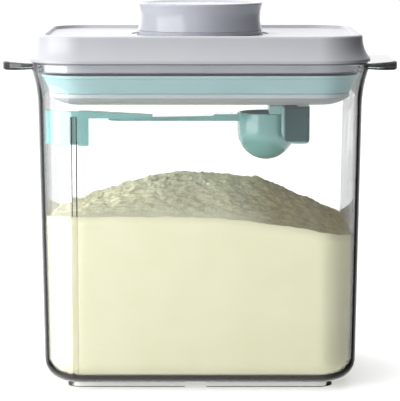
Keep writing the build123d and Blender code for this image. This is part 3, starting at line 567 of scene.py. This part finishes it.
def foam_ring():
    """The soft black ring above the seal, with rounded edges."""
    low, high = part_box("gap_gasket")
    middle = high.x - FOAM_WIDTH / 2
    height = high.z - low.z
    bm = bmesh.new()
    rings = []
    for step in range(FOAM_SIDES):
        angle = 2 * math.pi * step / FOAM_SIDES
        across = bend(math.cos(angle), FOAM_SQUARENESS[0])
        up = bend(math.sin(angle), FOAM_SQUARENESS[1])
        half = middle + (FOAM_WIDTH / 2 - FOAM_INSET) * across
        z = low.z + height / 2 + height / 2 * up
        rings.append([bm.verts.new((x, y, z)) for x, y in plan_outline(half)])
    skin(bm, rings + [rings[0]])
    ring = new_piece("foam_ring", bm, MATERIALS["black_foam"], "lid")
    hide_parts("gap_gasket")
    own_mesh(ring)


SPRING_TURNS = 8
SPRING_WIRE_R = 0.5 * MM
SPRING_R = 8.3 * MM
SPRING_CLOSED_TURNS = 0.9            # at each end
SPRING_STEPS = 48                    # per turn
SPRING_SIDES = 10


def spring_height(turn, low, high):
    """Height of the wire's centre: closed end turns, an even pitch between them."""
    wire = 2 * SPRING_WIRE_R
    share = (turn - SPRING_CLOSED_TURNS) / (SPRING_TURNS - 2 * SPRING_CLOSED_TURNS)
    if share < 0:
        return low + wire * turn / SPRING_CLOSED_TURNS
    if share > 1:
        return high - wire * (SPRING_TURNS - turn) / SPRING_CLOSED_TURNS
    return low + wire + (high - low - 2 * wire) * share


def return_spring():
    """The coil spring round the post, with closed end turns."""
    low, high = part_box("button_spring")
    first, last = low.z + SPRING_WIRE_R, high.z - SPRING_WIRE_R
    bm = bmesh.new()
    rings = []
    for step in range(SPRING_TURNS * SPRING_STEPS + 1):
        turn = step / SPRING_STEPS
        angle = 2 * math.pi * turn
        centre = Vector((0, 0, spring_height(turn, first, last)))
        out = Vector((math.cos(angle), math.sin(angle), 0))
        ring = []
        for side in range(SPRING_SIDES):
            roll = 2 * math.pi * side / SPRING_SIDES
            up = Vector((0, 0, SPRING_WIRE_R * math.sin(roll)))
            ring.append(bm.verts.new(centre + out * (SPRING_R + SPRING_WIRE_R * math.cos(roll)) + up))
        rings.append(ring)
    skin(bm, rings, closed_ends=True)
    spring = new_piece("return_spring", bm, MATERIALS["steel"], "lid")
    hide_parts("button_spring")
    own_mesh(spring)


# ------------------------------------------------------------------------ stage

FLOOR_REACH = 14.0
FLOOR_CELLS = 8
FLOOR_DROP = 0.1 * MM                # keeps the floor clear of the foot
FLOOR_GLOW = 0.45
PAPER_GRAIN_SIZE = 40 * MM
PAPER_SHADES = ((0.93, 0.93, 0.93, 1), (0.95, 0.95, 0.95, 1))

# ---- World light, by the direction it comes from along X, Y or Z: how bright it is from start to stop
NEAR_SIDE = {"low": 1.0, "high": 0.03, "start": -0.15, "stop": 0.42}
OVERHEAD = {"low": 0.72, "high": 1.05, "start": 0.25, "stop": 0.85}
FAR_LEFT = {"low": 0.08, "high": 1.0, "start": -0.85, "stop": -0.45}
FAR_RIGHT = {"low": 1.0, "high": 0.08, "start": 0.35, "stop": 0.7}
BEHIND = {"low": 0.0, "high": 0.9, "start": 0.25, "stop": 0.8}

# ---- Lamps: sizes in metres, power in watts
LAMP_AIM = (0.0, 0.0, 0.09)
KEY_ANGLE = math.radians(60)         # to the left of the front
KEY_DISTANCE = 0.8
KEY_HEIGHT = 0.22
KEY_SIZE = (0.86, 0.88)
KEY_POWER = 9.2
TOP_PLACE = (-0.3, 0.8, 2.2)
TOP_SIZE = (2.4, 2.0)
TOP_POWER = 19.0


def floor():
    """A seamless flat sheet of pale paper under the object."""
    bm = bmesh.new()
    bmesh.ops.create_grid(bm, x_segments=FLOOR_CELLS, y_segments=FLOOR_CELLS, size=FLOOR_REACH)
    for vert in bm.verts:
        vert.co.z = -FLOOR_DROP
    mesh = bpy.data.meshes.new("floor")
    bm.to_mesh(mesh)
    bm.free()
    plane = bpy.data.objects.new("floor", mesh)
    bpy.context.scene.collection.objects.link(plane)
    material, tree, shader = new_material("pale_paper", Roughness=0.85, Specular_IOR_Level=0.0,
                                          Emission_Color=(1, 1, 1, 1), Emission_Strength=FLOOR_GLOW)
    paper = grain(tree, PAPER_GRAIN_SIZE, detail=5.0)
    tree.links.new(blend_colours(tree, paper, *PAPER_SHADES), shader.inputs["Base Color"])
    mesh.materials.append(material)
    plane.visible_diffuse = False
    plane.visible_glossy = False


def world_light():
    """A white studio: bright in front, above and behind, dark along the right and at the far left."""
    world = bpy.data.worlds.new("studio")
    bpy.context.scene.world = world
    world.use_nodes = True
    tree = world.node_tree
    split = tree.nodes.new("ShaderNodeSeparateXYZ")
    tree.links.new(tree.nodes.new("ShaderNodeTexCoord").outputs["Generated"], split.inputs[0])
    near = combine(tree, "MULTIPLY", ramp(tree, split.outputs["X"], **NEAR_SIDE),
                   ramp(tree, split.outputs["Z"], **OVERHEAD))
    behind = combine(tree, "MULTIPLY", ramp(tree, split.outputs["X"], **FAR_RIGHT),
                     ramp(tree, split.outputs["Y"], **BEHIND))
    off_left = ramp(tree, split.outputs["X"], **FAR_LEFT)
    total = combine(tree, "MULTIPLY", off_left, combine(tree, "ADD", near, behind))
    tree.links.new(total, tree.nodes["Background"].inputs["Color"])


def turn_to(holder, place, aim):
    """Puts a lamp or camera at one point, facing another."""
    holder.location = place
    holder.rotation_euler = (Vector(aim) - Vector(place)).to_track_quat("-Z", "Y").to_euler()


def softbox(name, place, size, power):
    """A rectangular studio lamp that faces the object."""
    lamp = bpy.data.lights.new(name, "AREA")
    lamp.shape = "RECTANGLE"
    lamp.size, lamp.size_y = size
    lamp.energy = power
    holder = bpy.data.objects.new(name, lamp)
    bpy.context.scene.collection.objects.link(holder)
    turn_to(holder, place, LAMP_AIM)
    holder.visible_camera = False


def studio():
    """The world light, a key light at the left and a large lamp overhead."""
    world_light()
    key = (-KEY_DISTANCE * math.sin(KEY_ANGLE), -KEY_DISTANCE * math.cos(KEY_ANGLE), KEY_HEIGHT)
    softbox("key_softbox", key, KEY_SIZE, KEY_POWER)
    softbox("top_softbox", TOP_PLACE, TOP_SIZE, TOP_POWER)


def camera():
    """The scene's camera."""
    lens = bpy.data.cameras.new("camera")
    lens.lens = CAMERA_LENS
    lens.sensor_width = CAMERA_SENSOR
    lens.clip_end = CAMERA_REACH
    holder = bpy.data.objects.new("camera", lens)
    bpy.context.scene.collection.objects.link(holder)
    turn_to(holder, CAMERA_PLACE, CAMERA_AIM)
    bpy.context.scene.camera = holder


bpy.context.scene.view_settings.view_transform = "Standard"
camera()
studio()
floor()
dress_cad_nodes()
powder_heap()
foam_ring()
return_spring()
